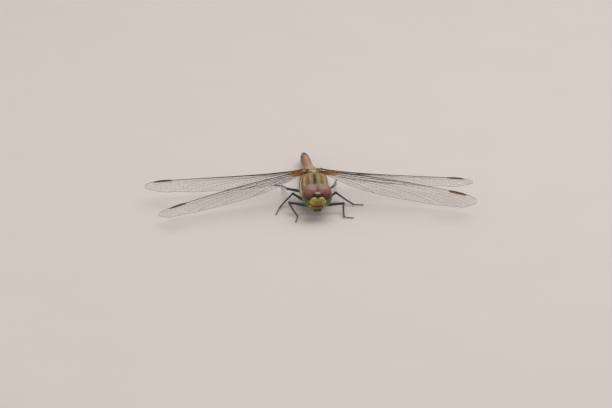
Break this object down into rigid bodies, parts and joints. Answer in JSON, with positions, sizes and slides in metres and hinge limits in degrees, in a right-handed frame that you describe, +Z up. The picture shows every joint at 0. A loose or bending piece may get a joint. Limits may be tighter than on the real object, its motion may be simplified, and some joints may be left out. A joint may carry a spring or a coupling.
{
  "type": "dragonfly",
  "caption": "Life-size perched darter dragonfly, wings held forward and down, resting on its feet, as a still natural-history model.",
  "frame": {"origin": "bottom centre of the model's box, on the floor under its feet", "axes": "+Z up, the insect faces -Y, its own left wings point to +X"},
  "size_m": [0.0612, 0.0354, 0.0074],
  "materials": {
    "eyes": "glossy facetted compound eye, red-brown above, olive green below",
    "head_capsule": "dark horny capsule behind and under the eyes, with a beige crown between them",
    "face": "satin yellow face with a black band over it and fine dark bristles",
    "mouthparts": "ochre and olive-brown lips with dark edges",
    "antennae": "dark bristle",
    "thorax": "olive and amber-brown, dark seams, covered in fine pale hair",
    "abdomen": "orange-brown, dark side marks, satin",
    "tail_end": "dark brown, satin",
    "wings": "clear glossy film with dark veins and an amber base",
    "wing_cells": "dark brown thickened cell near the tip of the wing",
    "leg_bases": "brown, satin",
    "legs": "black, satin, with two rows of spines"
  },
  "bodies": {
    "root": {"eye_right": "eyes", "eye_left": "eyes", "head": "head_capsule", "frons": "face", "clypeus": "face", "labrum": "mouthparts", "labium": "mouthparts", "antenna_right": "antennae", "antenna_left": "antennae", "prothorax": "thorax", "thorax": "thorax", "abdomen_1": "abdomen", "abdomen_2": "abdomen", "abdomen_3": "abdomen", "abdomen_4": "abdomen", "abdomen_5": "abdomen", "abdomen_6": "abdomen", "abdomen_7": "abdomen", "abdomen_8": "abdomen", "abdomen_9": "tail_end", "abdomen_10": "tail_end", "cercus_right": "tail_end", "cercus_left": "tail_end", "forewing_right": "wings", "forewing_right_stigma": "wing_cells", "forewing_left": "wings", "forewing_left_stigma": "wing_cells", "hindwing_right": "wings", "hindwing_right_stigma": "wing_cells", "hindwing_left": "wings", "hindwing_left_stigma": "wing_cells", "foreleg_right_coxa": "leg_bases", "foreleg_right_femur": "legs", "foreleg_right_tibia": "legs", "foreleg_right_tarsus": "legs", "foreleg_left_coxa": "leg_bases", "foreleg_left_femur": "legs", "foreleg_left_tibia": "legs", "foreleg_left_tarsus": "legs", "midleg_right_coxa": "leg_bases", "midleg_right_femur": "legs", "midleg_right_tibia": "legs", "midleg_right_tarsus": "legs", "midleg_left_coxa": "leg_bases", "midleg_left_femur": "legs", "midleg_left_tibia": "legs", "midleg_left_tarsus": "legs", "hindleg_right_coxa": "leg_bases", "hindleg_right_femur": "legs", "hindleg_right_tibia": "legs", "hindleg_right_tarsus": "legs", "hindleg_left_coxa": "leg_bases", "hindleg_left_femur": "legs", "hindleg_left_tibia": "legs", "hindleg_left_tarsus": "legs"}
  },
  "joints": []
}
